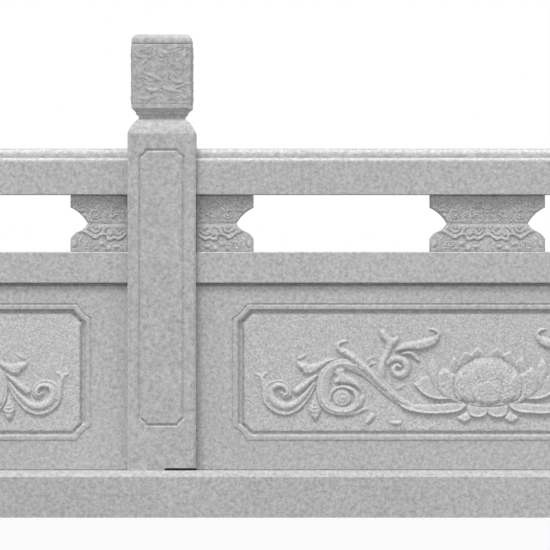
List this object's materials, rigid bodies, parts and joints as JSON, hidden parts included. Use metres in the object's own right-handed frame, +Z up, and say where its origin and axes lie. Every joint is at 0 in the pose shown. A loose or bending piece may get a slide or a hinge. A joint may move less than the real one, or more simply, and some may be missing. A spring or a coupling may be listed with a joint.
{
  "type": "stone balustrade",
  "caption": "Carved granite balustrade: square posts with carved caps, lotus and scroll panels in scooped frames, waisted balusters and a crowned handrail.",
  "frame": {"origin": "middle of the run, on the ground under the ground beams", "axes": "+X along the run, to the right as seen from the front; +Y to the back; +Z up; the front faces -Y"},
  "size_m": [5.41, 0.25, 1.272],
  "materials": {
    "granite_dressed": "fine-dressed grey granite",
    "granite_carved": "carved and pitted grey granite"
  },
  "bodies": {
    "root": {"ground_beam_1": "granite_dressed", "ground_beam_2": "granite_dressed", "ground_beam_3": "granite_dressed", "handrail_1": "granite_dressed", "handrail_2": "granite_dressed", "handrail_3": "granite_dressed", "mid_rail_1": "granite_dressed", "mid_rail_2": "granite_dressed", "mid_rail_3": "granite_dressed", "post_1": "granite_dressed", "post_2": "granite_dressed", "post_3": "granite_dressed", "post_4": "granite_dressed", "carved_panel_1": "granite_carved", "carved_panel_2": "granite_carved", "carved_panel_3": "granite_carved", "centre_baluster_1": "granite_carved", "centre_baluster_2": "granite_carved", "centre_baluster_3": "granite_carved", "left_baluster_1": "granite_carved", "left_baluster_2": "granite_carved", "left_baluster_3": "granite_carved", "right_baluster_1": "granite_carved", "right_baluster_2": "granite_carved", "right_baluster_3": "granite_carved"}
  },
  "joints": []
}
